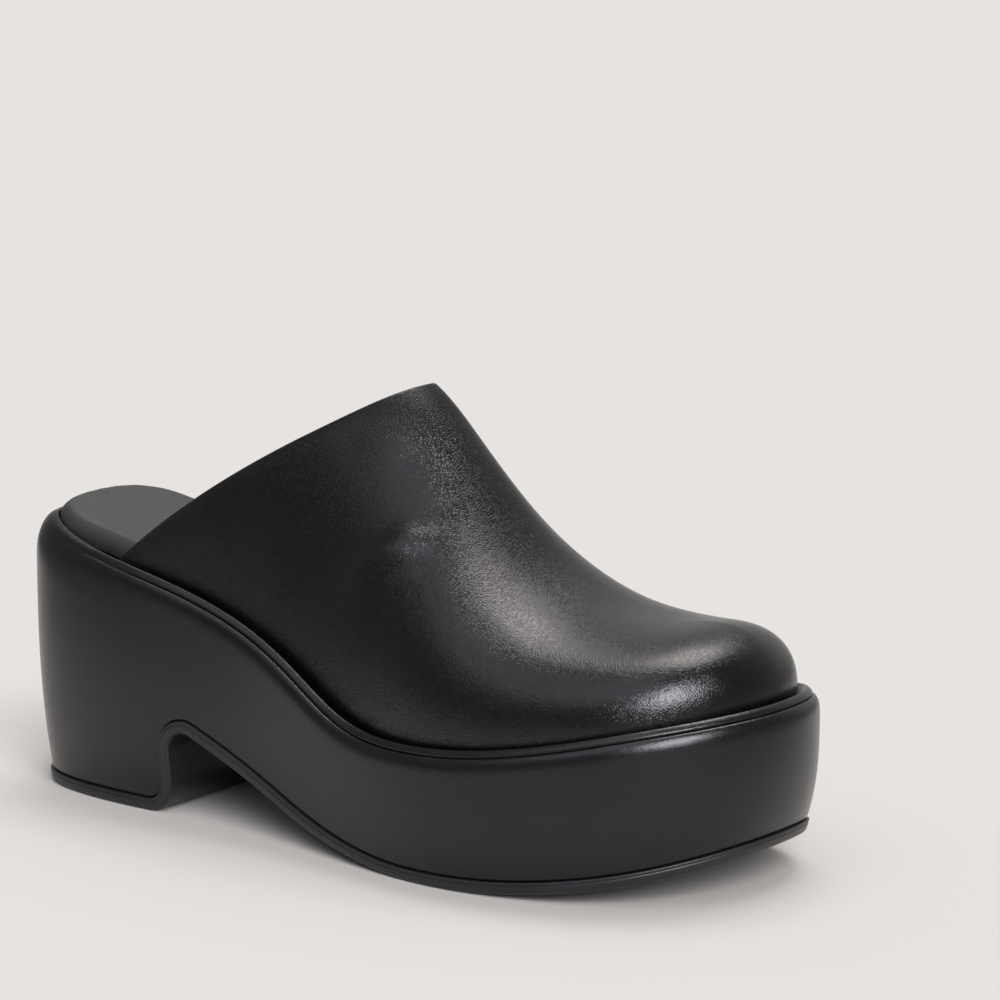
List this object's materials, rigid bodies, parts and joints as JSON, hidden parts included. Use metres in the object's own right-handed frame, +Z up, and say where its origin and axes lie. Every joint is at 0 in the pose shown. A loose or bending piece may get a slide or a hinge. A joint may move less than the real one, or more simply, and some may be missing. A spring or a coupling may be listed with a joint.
{
  "type": "platform mule",
  "caption": "Closed-toe leather platform mule for a right foot, with a block heel, an arch notch under the waist and a rubber outsole.",
  "frame": {"origin": "on the floor under the middle of the shoe's bounding box", "axes": "+X from heel to toe, -Y towards the outer side of the foot, +Z up"},
  "size_m": [0.2688, 0.1066, 0.1344],
  "materials": {
    "sole_rubber": "matte",
    "wrap_leather": "satin",
    "lining_leather": "matte",
    "smooth_leather": "semi-gloss"
  },
  "bodies": {
    "root": {"outsole": "sole_rubber", "platform": "wrap_leather", "insole": "lining_leather", "upper": "smooth_leather"}
  },
  "joints": []
}
